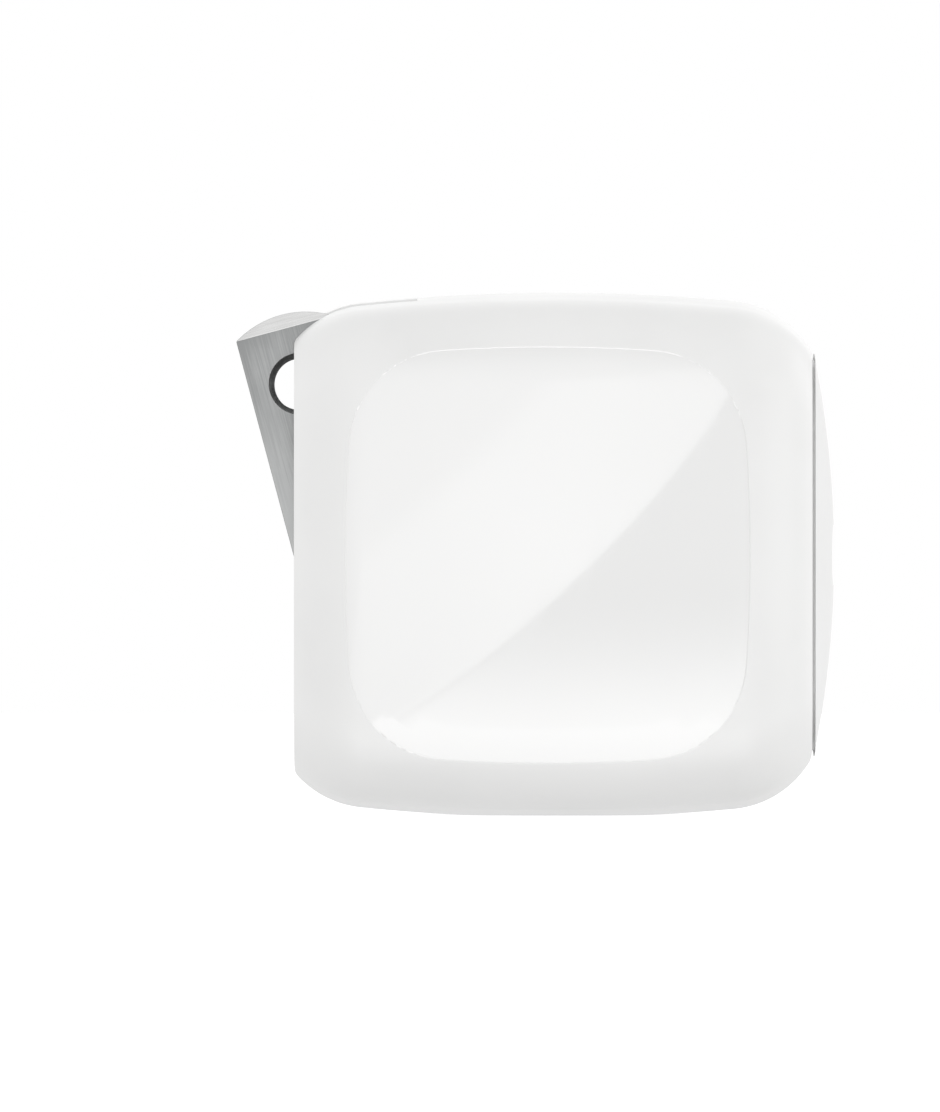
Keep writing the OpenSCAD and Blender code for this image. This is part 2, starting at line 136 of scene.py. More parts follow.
# ---- Case shape: the formulas that the CAD frame is built from ------------------------------


def arc(centre, radius, start, stop, steps, skip=0):
    """Points on an arc, in its own plane. skip leaves out that many points at both ends."""
    angles = [start + (stop - start) * i / steps for i in range(skip, steps + 1 - skip)]
    return [(centre[0] + radius * math.cos(a), centre[1] + radius * math.sin(a))
            for a in angles]


def end_arc_height(x):
    return CASE_HALF - CROWN_R + math.sqrt((CROWN_R - CORNER_R) ** 2 - (x - CROWN_X) ** 2)


def join_angle(x):
    return math.atan2(end_arc_height(x) + CROWN_R - CASE_HALF, x - CROWN_X)


REAR_JOIN = join_angle(REAR_ARC_X)
FRONT_JOIN = join_angle(FRONT_ARC_X)
REAR_JOIN_X = REAR_ARC_X + CORNER_R * math.cos(REAR_JOIN)
FRONT_JOIN_X = FRONT_ARC_X + CORNER_R * math.cos(FRONT_JOIN)


def side_profile(end_steps=18, crown_steps=16):
    """(x, half height) from the wall face to the seam."""
    return (arc((REAR_ARC_X, end_arc_height(REAR_ARC_X)), CORNER_R,
                math.acos(-REAR_ARC_X / CORNER_R), REAR_JOIN, end_steps)
            + arc((CROWN_X, CASE_HALF - CROWN_R), CROWN_R, REAR_JOIN, FRONT_JOIN,
                  crown_steps, 1)
            + arc((FRONT_ARC_X, end_arc_height(FRONT_ARC_X)), CORNER_R, FRONT_JOIN,
                  math.acos((CASE_LEN - FRONT_ARC_X) / CORNER_R), end_steps))


def profile_height(x):
    """Half height of the case at x, and its slope there."""
    if x < REAR_JOIN_X:
        centre, height, radius = REAR_ARC_X, end_arc_height(REAR_ARC_X), CORNER_R
    elif x > FRONT_JOIN_X:
        centre, height, radius = FRONT_ARC_X, end_arc_height(FRONT_ARC_X), CORNER_R
    else:
        centre, height, radius = CROWN_X, CASE_HALF - CROWN_R, CROWN_R
    rise = math.sqrt(max(radius ** 2 - (x - centre) ** 2, 1e-6))
    return height + rise, -(x - centre) / rise


def crowned_square(half, edge_r, crown_r, face_steps, edge_steps):
    """A square outline with crowned sides and round corners, anticlockwise."""
    reach = crown_r - half
    edge_c = (-reach + math.sqrt(2 * (crown_r - edge_r) ** 2 - reach ** 2)) / 2
    edge_a = math.atan2(edge_c, edge_c + reach)
    quarter = (arc((-reach, 0), crown_r, -edge_a, edge_a, face_steps, 1)
               + arc((edge_c, edge_c), edge_r, edge_a, math.pi / 2 - edge_a, edge_steps))
    points = []
    for turn in range(4):
        c, s = (1, 0, -1, 0)[turn], (0, 1, 0, -1)[turn]
        points += [(c * p - s * q, s * p + c * q) for p, q in quarter]
    return points


def unit_section(face_steps=16, edge_steps=14):
    outline = crowned_square(CASE_HALF, EDGE_R, CROWN_R, face_steps, edge_steps)
    return [(p / CASE_HALF, q / CASE_HALF) for p, q in outline]


REACH = CROWN_R - CASE_HALF
EDGE_C = (-REACH + math.sqrt(2 * (CROWN_R - EDGE_R) ** 2 - REACH ** 2)) / 2
EDGE_A = math.atan2(EDGE_C, EDGE_C + REACH)
# Slope of the line from the middle to where the crown meets the edge arc
EDGE_START = CROWN_R * math.sin(EDGE_A) / (CROWN_R * math.cos(EDGE_A) - REACH)


def section_gauge(y, z):
    """How large a section passes through (y, z), as its half width, and its outward normal."""
    a, b = abs(y), abs(z)
    swap = b > a
    if swap:
        a, b = b, a
    if b <= a * EDGE_START:
        # On the crown: |k (a, b) - (-REACH, 0)| = CROWN_R, solved for k
        qa, qb, qc = a * a + b * b, a * REACH, REACH ** 2 - CROWN_R ** 2
        k = (-qb + math.sqrt(qb * qb - qa * qc)) / qa
        normal = (k * a + REACH, k * b)
    else:
        qa, qb, qc = a * a + b * b, -(a + b) * EDGE_C, 2 * EDGE_C ** 2 - EDGE_R ** 2
        k = (-qb + math.sqrt(max(qb * qb - qa * qc, 0))) / qa
        normal = (k * a - EDGE_C, k * b - EDGE_C)
    if swap:
        normal = (normal[1], normal[0])
    size = math.hypot(*normal)
    normal = (math.copysign(normal[0] / size, y), math.copysign(normal[1] / size, z))
    return CASE_HALF / k, normal


def case_normal(point):
    """The case's outward normal near a point, and how far inside the skin the point is."""
    x, y, z = point[0], point[1], point[2] - CASE_Z
    half, slope = profile_height(min(max(x, 0), CASE_LEN))
    gauge, normal = section_gauge(y, z)
    support = (y * normal[0] + z * normal[1]) / gauge
    return Vector((-slope * support, normal[0], normal[1])).normalized(), half - gauge


def face_y(x, z):
    """Height of the +Y face above the middle plane at (x, z), z from the case's middle."""
    half, _ = profile_height(x)
    low, high = 0.5 * CASE_HALF, 1.1 * CASE_HALF
    for _ in range(40):
        middle = (low + high) / 2
        if section_gauge(middle, z)[0] < half:
            low = middle
        else:
            high = middle
    return (low + high) / 2


def top_z(x, y):
    """Height of the case's top at (x, y); the section is the same turned a quarter."""
    return CASE_Z + face_y(x, y)


def dome_x(y, z):
    """The cap's face: a part sphere that grows into the crowned square at the groove."""
    gauge = section_gauge(y, z)[0] if abs(y) + abs(z) > 1e-6 else 0.0
    rim = min(gauge / CAP_HALF, 1.0) ** 2
    flat = rim * gauge ** 2 + (1 - rim) * (y * y + z * z)
    return CAP_APEX - DOME_R + math.sqrt(DOME_R ** 2 - flat)


def dome_normal(point):
    y, z, step = point[1], point[2] - CASE_Z, 0.01
    slope_y = (dome_x(y + step, z) - dome_x(y - step, z)) / (2 * step)
    slope_z = (dome_x(y, z + step) - dome_x(y, z - step)) / (2 * step)
    return Vector((1, -slope_y, -slope_z)).normalized(), dome_x(y, z) - point[0]


# ---- Mesh tools -----------------------------------------------------------------------------


def make(name, points, faces, *materials):
    """A closed solid from points in mm, with its normals outward."""
    mesh = bpy.data.meshes.new(name)
    mesh.from_pydata([Vector(p) * MM for p in points], [], faces)
    for material in materials:
        mesh.materials.append(material)
    bm = bmesh.new()
    bm.from_mesh(mesh)
    bmesh.ops.recalc_face_normals(bm, faces=bm.faces)
    bm.to_mesh(mesh)
    bm.free()
    piece = bpy.data.objects.new(name, mesh)
    bpy.context.scene.collection.objects.link(piece)
    return piece


def rings(name, ring_list, *materials):
    """A closed skin through rings of points, with an end face at each end."""
    n = len(ring_list[0])
    points = [p for ring in ring_list for p in ring]
    faces = [list(range(n)), list(range(len(points) - 1, len(points) - n - 1, -1))]
    for i in range(len(ring_list) - 1):
        for j in range(n):
            k = (j + 1) % n
            faces.append([i * n + j, i * n + k, (i + 1) * n + k, (i + 1) * n + j])
    return make(name, points, faces, *materials)


def prism_x(name, outline, x0, x1, *materials):
    return rings(name, [[(x, y, z) for y, z in outline] for x in (x0, x1)], *materials)


def prism_y(name, outline, y0, y1, *materials):
    return rings(name, [[(x, y, z) for x, z in outline] for y in (y0, y1)], *materials)


def box(name, low, high, *materials):
    outline = [(low[1], low[2]), (high[1], low[2]), (high[1], high[2]), (low[1], high[2])]
    return prism_x(name, outline, low[0], high[0], *materials)


def circle(radius, centre=(0, 0), steps=48):
    return arc(centre, radius, 0, 2 * math.pi * (1 - 1 / steps), steps - 1)


def case_outline(half, face_steps=2, edge_steps=6):
    return [(y * half, z * half + CASE_Z) for y, z in unit_section(face_steps, edge_steps)]


def bake(piece):
    """Applies a piece's modifiers."""
    bpy.context.view_layer.update()
    shape = piece.evaluated_get(bpy.context.evaluated_depsgraph_get())
    mesh = bpy.data.meshes.new_from_object(shape)
    old = piece.data
    piece.modifiers.clear()
    piece.data = mesh
    bpy.data.meshes.remove(old)
    mesh.name = piece.name


def combine(piece, tools, operation="DIFFERENCE"):
    for tool in tools:
        modifier = piece.modifiers.new("combine", "BOOLEAN")
        modifier.object = tool
        modifier.operation = operation
        modifier.solver = "EXACT"
        modifier.material_mode = "TRANSFER"
        bake(piece)
        bpy.data.meshes.remove(tool.data)
    return piece


def round_edges(piece, width, segments=2, angle=35):
    modifier = piece.modifiers.new("round", "BEVEL")
    modifier.width = width * MM
    modifier.segments = segments
    modifier.limit_method = "ANGLE"
    modifier.angle_limit = math.radians(angle)
    modifier.harden_normals = False
    bake(piece)
    return piece


def smooth(piece, angle=35):
    piece.data.shade_smooth()
    piece.data.set_sharp_from_angle(angle=math.radians(angle))
    return piece


def true_normals(piece, rule, reach=0.2, within=30):
    """Shades the faces on a known surface with that surface's own normals."""
    mesh = piece.data
    mesh.shade_smooth()
    limit = math.cos(math.radians(within))
    known = {}
    normals = []
    for face in mesh.polygons:
        for index in face.vertices:
            if index not in known:
                known[index] = rule(mesh.vertices[index].co / MM)
            normal, depth = known[index]
            on_skin = abs(depth) < reach and normal.dot(face.normal) > limit
            normals.append(normal if on_skin else face.normal.copy())
    mesh.normals_split_custom_set(normals)
    return piece


def both_sides(build):
    """build(1) for +Y and build(-1) for -Y."""
    return [build(1), build(-1)]


def span(side, y0, y1):
    """A Y range on one side, lowest first."""
    return sorted((side * y0, side * y1))


# ---- Materials ------------------------------------------------------------------------------


class Finish:
    """A Principled material with helpers that add procedural detail, in mm."""

    def __init__(self, name, roughness=0.5, metallic=0.0, **sockets):
        self.material = bpy.data.materials.new(name)
        self.material.use_nodes = True
        self.tree = self.material.node_tree
        self.shader = self.tree.nodes["Principled BSDF"]
        self.shader.inputs["Roughness"].default_value = roughness
        self.shader.inputs["Metallic"].default_value = metallic
        for socket, value in sockets.items():
            self.shader.inputs[socket.replace("_", " ")].default_value = value
        self.place = self.tree.nodes.new("ShaderNodeTexCoord").outputs["Object"]

    def link(self, source, target):
        self.tree.links.new(source, target)

    def mapped(self, per_mm, stretch=(1, 1, 1), turn=0.0):
        """Coordinates with per_mm cycles a mm; turn is about Y, before the stretch."""
        turned = self.tree.nodes.new("ShaderNodeMapping")
        turned.inputs["Rotation"].default_value = (0, turn, 0)
        self.link(self.place, turned.inputs["Vector"])
        scaled = self.tree.nodes.new("ShaderNodeMapping")
        scaled.inputs["Scale"].default_value = [per_mm / MM * s for s in stretch]
        self.link(turned.outputs["Vector"], scaled.inputs["Vector"])
        return scaled.outputs["Vector"]

    def noise(self, per_mm, detail=3.0, stretch=(1, 1, 1), turn=0.0):
        node = self.tree.nodes.new("ShaderNodeTexNoise")
        node.inputs["Scale"].default_value = 1.0
        node.inputs["Detail"].default_value = detail
        self.link(self.mapped(per_mm, stretch, turn), node.inputs["Vector"])
        return node.outputs["Fac"]

    def waves(self, per_mm, axis="Z", distortion=0.3):
        node = self.tree.nodes.new("ShaderNodeTexWave")
        node.bands_direction = axis
        node.inputs["Scale"].default_value = 1.0
        node.inputs["Distortion"].default_value = distortion
        self.link(self.mapped(per_mm), node.inputs["Vector"])
        return node.outputs["Fac"]

    def cells(self, per_mm, feature="F1"):
        node = self.tree.nodes.new("ShaderNodeTexVoronoi")
        node.feature = feature
        node.inputs["Scale"].default_value = 1.0
        self.link(self.mapped(per_mm), node.inputs["Vector"])
        return node.outputs["Distance"]

    def edges(self, low, high):
        """1 on convex edges and 0 on flat ground."""
        node = self.tree.nodes.new("ShaderNodeNewGeometry")
        return self.ranged(node.outputs["Pointiness"], 0, 1, low, high)

    def ranged(self, value, to_low, to_high, from_low=0.0, from_high=1.0):
        node = self.tree.nodes.new("ShaderNodeMapRange")
        for socket, number in (("From Min", from_low), ("From Max", from_high),
                               ("To Min", to_low), ("To Max", to_high)):
            node.inputs[socket].default_value = number
        self.link(value, node.inputs["Value"])
        return node.outputs["Result"]

    def math(self, operation, a, b):
        node = self.tree.nodes.new("ShaderNodeMath")
        node.operation = operation
        for value, socket in ((a, node.inputs[0]), (b, node.inputs[1])):
            if isinstance(value, (int, float)):
                socket.default_value = value
            else:
                self.link(value, socket)
        return node.outputs["Value"]

    def colours(self, value, *stops):
        """Colour from a value, through (position, (r, g, b)) stops."""
        node = self.tree.nodes.new("ShaderNodeValToRGB")
        ramp = node.color_ramp
        while len(ramp.elements) < len(stops):
            ramp.elements.new(0.5)
        for element, (position, colour) in zip(ramp.elements, stops):
            element.position = position
            element.color = (*colour, 1)
        self.link(value, node.inputs["Fac"])
        self.link(node.outputs["Color"], self.shader.inputs["Base Color"])
        return self

    def rough(self, value, low, high, from_low=0.3, from_high=0.7):
        self.link(self.ranged(value, low, high, from_low, from_high),
                  self.shader.inputs["Roughness"])
        return self

    def bumps(self, *heights):
        """Stacks bumps, each (value, depth in mm)."""
        normal = None
        for value, depth in heights:
            node = self.tree.nodes.new("ShaderNodeBump")
            node.inputs["Strength"].default_value = 1.0
            node.inputs["Distance"].default_value = depth * MM
            self.link(value, node.inputs["Height"])
            if normal is not None:
                self.link(normal, node.inputs["Normal"])
            normal = node.outputs["Normal"]
        self.link(normal, self.shader.inputs["Normal"])
        return self


def shade(colour, factor):
    return tuple(min(c * factor, 1.0) for c in colour)


def moulded(name, colour, low, high, grain_mm=0.12, depth=0.002, **sockets):
    """Moulded plastic: fine spark-eroded grain, faint flow marks and a slight cloudiness.
    Edges are rubbed a little smoother by handling."""
    f = Finish(name, **sockets)
    cloud = f.noise(0.11, 4)
    grain = f.noise(1 / grain_mm, 2)
    flow = f.noise(0.35, 2, (0.25, 1, 1))
    rubbed = f.math("MULTIPLY", f.edges(0.52, 0.6), 0.15)
    f.colours(cloud, (0.3, shade(colour, 0.975)), (0.5, colour), (0.7, shade(colour, 1.015)))
    texture = f.math("ADD", f.math("MULTIPLY", grain, 0.6), f.math("MULTIPLY", flow, 0.4))
    f.rough(f.math("SUBTRACT", texture, rubbed), low, high)
    f.bumps((grain, depth))
    return f.material


def polished(name, colour):
    """The polished field: near mirror gloss with hairline scuffs."""
    f = Finish(name, IOR=1.7, Coat_Weight=1.0, Coat_Roughness=0.03, Coat_IOR=1.6)
    cloud = f.noise(0.09, 3)
    hairs = f.noise(1.1, 6, (0.06, 1, 2.2), 0.6)
    hairs_across = f.noise(0.8, 6, (2.0, 1, 0.07), -0.35)
    both = f.math("MAXIMUM", hairs, hairs_across)
    f.colours(cloud, (0.3, shade(colour, 0.985)), (0.7, colour))
    f.rough(both, 0.035, 0.11, 0.45, 0.85)
    f.bumps((hairs, 0.0004))
    return f.material


SHEEN_GRADIENT_MIDDLE = 12  # mm from the frame's origin to where a blade's painted reflection gradient keeps its plain tone


def plated(name, dark, light, low, high, stretch, turn=0.0, anisotropic=0.0, fade=0.0):
    """Plated metal with grain drawn out along one direction and dull, rubbed patches.
    fade brightens it per mm along the grain: a painted reflection gradient, darker towards a
    blade's tip and lighter towards its root."""
    f = Finish(name, metallic=1.0, Anisotropic=anisotropic)
    grain = f.noise(14, 4, stretch, turn)
    patches_and_sheen = f.noise(0.22, 4)
    if fade:
        # Painted reflection: the tone rises along the grain, lighter towards the blade's root.
        along = f.tree.nodes.new("ShaderNodeSeparateXYZ")
        f.link(f.mapped(fade, turn=turn), along.inputs["Vector"])
        patches_and_sheen = f.math("ADD", f.math("ADD", patches_and_sheen, along.outputs["X"]), SHEEN_GRADIENT_MIDDLE * fade)
    tone = f.math("ADD", f.math("MULTIPLY", grain, 0.55), f.math("MULTIPLY", patches_and_sheen, 0.45))
    f.colours(tone, (0.35, dark), (0.65, light))
    f.rough(f.math("ADD", f.math("MULTIPLY", grain, 0.7), f.math("MULTIPLY", patches_and_sheen, 0.3)),
            low, high)
    f.bumps((grain, 0.0015))
    return f.material


def sintered(name, colour):
    """Ferrite: dark, matt, with fine pores."""
    f = Finish(name)
    pores = f.cells(3.0)
    f.colours(f.noise(1.2, 5), (0.3, shade(colour, 0.7)), (0.7, shade(colour, 1.3)))
    f.rough(pores, 0.55, 0.8, 0, 0.6)
    f.bumps((pores, 0.01))
    return f.material


def wound(name, colour, per_mm, axis):
    """Enamelled wire laid in turns, with painted shade in the gaps between turns and a painted
    highlight on their crests.
    """
    f = Finish(name, metallic=0.6, Coat_Weight=0.4, Coat_Roughness=0.15)
    turns = f.waves(per_mm, axis)
    # Painted shade between the turns and a painted highlight on each turn's crest.
    f.colours(turns, (0.0, shade(colour, 0.35)), (0.45, colour), (1.0, shade(colour, 1.35)))
    f.rough(f.noise(4), 0.22, 0.4)
    f.bumps((turns, 0.06))
    return f.material


def board(name, mask, copper):
    """Solder mask over copper tracks, with glass weave under it."""
    f = Finish(name, Coat_Weight=0.3, Coat_Roughness=0.2)
    tracks = f.cells(0.45, "DISTANCE_TO_EDGE")
    weave = f.waves(0.9, "Y", 0.1)
    f.colours(tracks, (0.0, copper), (0.05, copper), (0.09, mask), (1.0, shade(mask, 1.15)))
    f.rough(f.noise(2), 0.3, 0.45)
    f.bumps((f.ranged(tracks, 0, 1, 0.03, 0.1), 0.03), (weave, 0.005))
    return f.material


def sleeved(name, colour, stripe):
    """Shrink sleeve with a pale polarity stripe along the can."""
    f = Finish(name, Coat_Weight=0.5, Coat_Roughness=0.1)
    band = f.tree.nodes.new("ShaderNodeTexGradient")
    band.gradient_type = "LINEAR"
    f.link(f.mapped(0.12, (0, 1, 0)), band.inputs["Vector"])
    f.colours(f.math("ADD", band.outputs["Fac"], f.math("MULTIPLY", f.noise(1.5), 0.05)),
              (0.0, colour), (0.93, colour), (0.95, stripe), (1.0, stripe))
    f.rough(f.noise(0.8), 0.2, 0.35)
    f.bumps((f.noise(1.6, 2), 0.01))
    return f.material


WHITE = (0.80, 0.80, 0.795)
CASE_SATIN = moulded("case_satin", WHITE, 0.30, 0.42, 0.14, 0.0012)
CASE_POLISHED = polished("case_polished", WHITE)
CAP_SATIN = moulded("cap_satin", WHITE, 0.30, 0.42, 0.14, 0.0012)
ROTOR_PLASTIC = moulded("rotor_plastic", (0.70, 0.70, 0.69), 0.35, 0.5, 0.15, 0.002)
# The blade metal carries a painted reflection gradient of 0.04 a mm, darker towards the tip.
BLADE_NICKEL = plated("blade_nickel", (0.26, 0.265, 0.265), (0.385, 0.39, 0.39), 0.34, 0.46,
                      (0.02, 1, 1), -STORED_ANGLE, 0.5, 0.04)
# Lighter copy of the blade metal for the tip bevels: partly a burnished finish, partly a painted
# highlight for the light the bevels catch from above.
BLADE_BURNISH_AND_HIGHLIGHT = plated("blade_burnish_and_highlight", (0.72, 0.72, 0.715), (0.86, 0.86, 0.855), 0.2, 0.32,
                         (1, 1, 0.03), -STORED_ANGLE)
PORT_STEEL = plated("port_steel", (0.48, 0.48, 0.47), (0.62, 0.62, 0.61), 0.2, 0.34, (0.03, 1, 1))
BRIGHT_STEEL = plated("bright_steel", (0.42, 0.42, 0.42), (0.58, 0.58, 0.58), 0.22, 0.4,
                      (1, 1, 0.05))
BRONZE = plated("contact_bronze", (0.50, 0.30, 0.15), (0.70, 0.46, 0.26), 0.25, 0.42,
                (1, 1, 0.05))
GOLD = plated("port_gold", (0.72, 0.50, 0.18), (0.90, 0.68, 0.32), 0.16, 0.3, (0.05, 1, 1))
ALUMINIUM = plated("aluminium", (0.60, 0.60, 0.61), (0.76, 0.76, 0.77), 0.28, 0.45,
                   (1, 1, 0.06))
PORT_BLACK = moulded("port_plastic", (0.018, 0.018, 0.019), 0.35, 0.5, 0.1, 0.002)
RETAINER_BLACK = moulded("retainer_plastic", (0.030, 0.031, 0.033), 0.45, 0.6, 0.2, 0.004)
BOBBIN_BROWN = moulded("bobbin_plastic", (0.11, 0.055, 0.03), 0.4, 0.55, 0.2, 0.004)
CHIP_BLACK = moulded("chip_black", (0.022, 0.022, 0.023), 0.5, 0.65, 0.08, 0.004)
CHIP_TAN = moulded("chip_tan", (0.42, 0.33, 0.22), 0.4, 0.55, 0.08, 0.003)
FILM_YELLOW = moulded("film_capacitor_case", (0.74, 0.52, 0.06), 0.3, 0.42, 0.2, 0.003)
TAPE_YELLOW = moulded("yellow_tape", (0.80, 0.60, 0.07), 0.22, 0.36, 0.5, 0.008)
CERAMIC_BLUE = moulded("ceramic_blue", (0.04, 0.14, 0.42), 0.15, 0.28, 0.9, 0.02)
PAD_GREY = moulded("pad_silicone", (0.27, 0.31, 0.36), 0.6, 0.75, 0.25, 0.01)
SHEET_FILM = moulded("sheet_film", (0.72, 0.70, 0.58), 0.25, 0.4, 1.0, 0.006)
FERRITE = sintered("ferrite", (0.035, 0.036, 0.038))
COPPER_TURNS = wound("copper_turns", (0.56, 0.22, 0.08), 0.5, "Z")
CHOKE_WIRE = wound("choke_wire", (0.50, 0.17, 0.06), 0.8, "X")
BOARD_GREEN = board("board", (0.012, 0.085, 0.035), (0.06, 0.19, 0.08))
SLEEVE_BLUE = sleeved("can_sleeve", (0.015, 0.025, 0.085), (0.50, 0.52, 0.56))

# ---- Case -----------------------------------------------------------------------------------


def panel_tool(side):
    """Cuts the polished field: a floor just under the skin, with a fine chamfer round it."""
    outline = crowned_square(1.0, PANEL_EDGE_R / PANEL_HALF_Z, PANEL_CROWN, 12, 12)
    scales = [0.02] + [k / 12 for k in range(1, 13)]
    levels = [(scale, 0.0, PANEL_DEPTH) for scale in scales]
    levels += [(1.0, PANEL_CHAMFER, 0.0), (1.0, 2 * PANEL_CHAMFER, -PANEL_DEPTH)]
    ring_list = []
    for scale, grow, depth in levels:
        ring = []
        for p, q in outline:
            x = PANEL_X + p * (PANEL_HALF_X * scale + grow)
            z = q * (PANEL_HALF_Z * scale + grow)
            ring.append((x, side * (face_y(x, z) - depth), z + CASE_Z))
        ring_list.append(ring)
    ring_list.append([(x, side * (CASE_HALF + 2), z) for x, _, z in ring_list[-1]])
    return rings("panel_tool", ring_list, CASE_POLISHED)


def hollow_tool():
    """The room inside, less the slot walls, hinge cradles and screw bosses left standing."""
    rear_end, room_end, lap = 4.2, 27.4, 0.1
    tool = prism_x("hollow_tool", case_outline(12.6), REAR_WALL, rear_end + lap, CASE_SATIN)
    combine(tool, [prism_x("hollow", case_outline(HOLLOW_HALF), rear_end, room_end + lap),
                   prism_x("mouth", case_outline(MOUTH_HALF), room_end, CASE_LEN + 1),
                   box("relief", (1.3, -11, -3.2), (1.9, 11, 1.6))], "UNION")
    kept = []
    for side in (1, -1):
        inner = BLADE_Y - SLOT_HALF - POCKET_WALL
        outer = BLADE_Y + SLOT_HALF + POCKET_WALL
        y0, y1 = span(side, inner, outer)
        kept.append(box("pocket", (-1, y0, POCKET_Z), (SLOT_DEPTH + POCKET_WALL, y1, FAR)))
        y0, y1 = span(side, 8.7, 10.4)
        kept.append(box("cradle", (-1, y0, PIVOT_Z - CRADLE_HALF),
                        (PIVOT_X - 0.05, y1, PIVOT_Z + CRADLE_HALF)))
        kept.append(prism_x("boss", circle(BOSS_R, (side * BOSS_Y, BOSS_Z)), -1, BOSS_END))
    return combine(tool, kept)


def edge_bar(path):
    """A slim bar of diamond section along an edge, for cutting its chamfer. path has
    (point, first direction, second direction) for each bend; a corner lies on each direction."""
    ring_list = []
    for point, across, outward in path:
        corners = [(across, 1), (outward, 1), (across, -1), (outward, -1)]
        ring_list.append([tuple(c + sign * SLOT_CHAMFER * d for c, d in zip(point, direction))
                          for direction, sign in corners])
    return rings("edge_bar", ring_list, CASE_SATIN)


def slot_edge(y):
    """Along one side of a blade slot: up the wall face, round the corner and along the top."""
    corner_z = top_z(0, y)
    path = [((0, y, POCKET_Z), (0, 1, 0), (-1, 0, 0)),
            ((0, y, corner_z - 0.6), (0, 1, 0), (-1, 0, 0))]
    count = 14
    for i in range(count + 1):
        x = (SLOT_DEPTH + 0.1) * (i / count) ** 2
        outward, _ = case_normal((x, 0, top_z(x, 0)))
        path.append(((x, y, top_z(x, y)), (0, 1, 0), (outward.x, 0, outward.z)))
    return edge_bar(path)


def slot_tools(side):
    """One blade slot with its wider place for the hub, and the chamfers round both."""
    y0, y1 = span(side, BLADE_Y - SLOT_HALF, BLADE_Y + SLOT_HALF)
    h0, h1 = span(side, BLADE_Y - HUB_SLOT_HALF, BLADE_Y + HUB_SLOT_HALF)
    out, up, over = (-1, 0, 0), (0, 0, 1), (0, 1, 0)
    end_z = top_z(SLOT_DEPTH, BLADE_Y)
    tools = [box("slot", (-1, y0, SLOT_BOTTOM), (SLOT_DEPTH, y1, FAR)),
             box("hub_slot", (-1, h0, HUB_SLOT_BOTTOM), (REAR_WALL + 0.1, h1, POCKET_Z)),
             slot_edge(y0), slot_edge(y1),
             edge_bar([((SLOT_DEPTH, y, end_z), (1, 0, 0), up) for y in (y0, y1)])]
    for y in (h0, h1):
        tools.append(edge_bar([((0, y, z), over, out) for z in (HUB_SLOT_BOTTOM, POCKET_Z)]))
    for start, stop, z in ((h0, h1, HUB_SLOT_BOTTOM), (h0, y0, POCKET_Z), (y1, h1, POCKET_Z)):
        tools.append(edge_bar([((0, y, z), up, out) for y in (start, stop)]))
    return tools


def case_shell():
    section = unit_section()
    profile = side_profile()
    for end, inward in ((0, 1), (-1, -1)):
        x, half = profile[end]
        profile[end] = (x + inward * END_CHAMFER, profile_height(x + inward * END_CHAMFER)[0])
        profile.insert(end if end == 0 else len(profile), (x, half - END_CHAMFER))
    skin = [[(x, y * half, z * half + CASE_Z) for y, z in section] for x, half in profile]
    shell = rings("case_shell", skin, CASE_SATIN)
    tools = both_sides(panel_tool) + [hollow_tool()] + slot_tools(1) + slot_tools(-1)
    bore = circle(JOURNAL_R + 0.05, (PIVOT_X, PIVOT_Z))
    tools.append(prism_y("cradle_bore", bore, -10.7, 10.7))
    tools += both_sides(lambda s: prism_x("pilot", circle(0.75, (s * BOSS_Y, BOSS_Z)), 4, 10))
    tools.append(box("foot", (-FAR, -FAR, -FAR), (2 * FAR, FAR, FOOT_Z)))
    combine(shell, tools)
    return true_normals(shell, case_normal)


# ---- Front cap ------------------------------------------------------------------------------


def stadium(grow, steps=16):
    """The port's outline: two half circles joined by straight runs, grown outward."""
    r = PORT_H / 2 + grow
    reach = (PORT_W - PORT_H) / 2
    half = math.pi / 2
    return ([(reach + y, CASE_Z + z) for y, z in arc((0, 0), r, -half, half, steps)]
            + [(y - reach, CASE_Z + z) for y, z in arc((0, 0), r, half, 3 * half, steps)])


def port_tube(name, levels, *materials):
    """Rings of the port's outline at (x, growth) levels."""
    return rings(name, [[(x, y, z) for y, z in stadium(grow)] for x, grow in levels], *materials)


def cap_shell():
    section = unit_section()
    seam_x = CASE_LEN + SEAM_GAP
    levels = [(GROOVE_HALF, CASE_LEN + 0.01), (GROOVE_HALF, seam_x),
              (CAP_HALF - 0.12, seam_x), (CAP_HALF - 0.02, seam_x + 0.03)]
    ring_list = [[(x, y * h, z * h + CASE_Z) for y, z in section] for h, x in levels]
    count = 22
    for i in range(count):
        h = CAP_HALF * (1 - 0.97 * (i / (count - 1)) ** 1.2) - 0.005
        ring_list.append([(dome_x(y * h, z * h), y * h, z * h + CASE_Z) for y, z in section])
    cap = rings("cap_shell", ring_list, CAP_SATIN)
    skirt_half = MOUTH_HALF - 0.1
    combine(cap, [prism_x("skirt", case_outline(skirt_half), CAP_BACK, CASE_LEN + 0.1)], "UNION")
    flare_x, flare = 33.78, 0.55  # where the opening starts to widen, and how gently
    mouth = [(CAP_FACE - 1, PORT_CLEARANCE), (flare_x, PORT_CLEARANCE)]
    mouth += [(flare_x + step, PORT_CLEARANCE + step ** 2 / flare)
              for step in (0.12, 0.24, 0.36, 0.5)]
    combine(cap, [prism_x("hollow", case_outline(skirt_half - SKIRT_WALL), CAP_BACK - 1, CAP_FACE),
                  port_tube("mouth", mouth, CAP_SATIN)])
    return true_normals(cap, dome_normal, 0.05, 12)


# ---- Blades and rotor -----------------------------------------------------------------------


def stored(piece):
    """Turns a piece that was made unfolded, round the hinge axis at 0, to its stored place."""
    place = Matrix.Translation((PIVOT_X * MM, 0, PIVOT_Z * MM))
    piece.data.transform(place @ Matrix.Rotation(STORED_ANGLE, 4, "Y"))
    piece.data.update()
    return piece


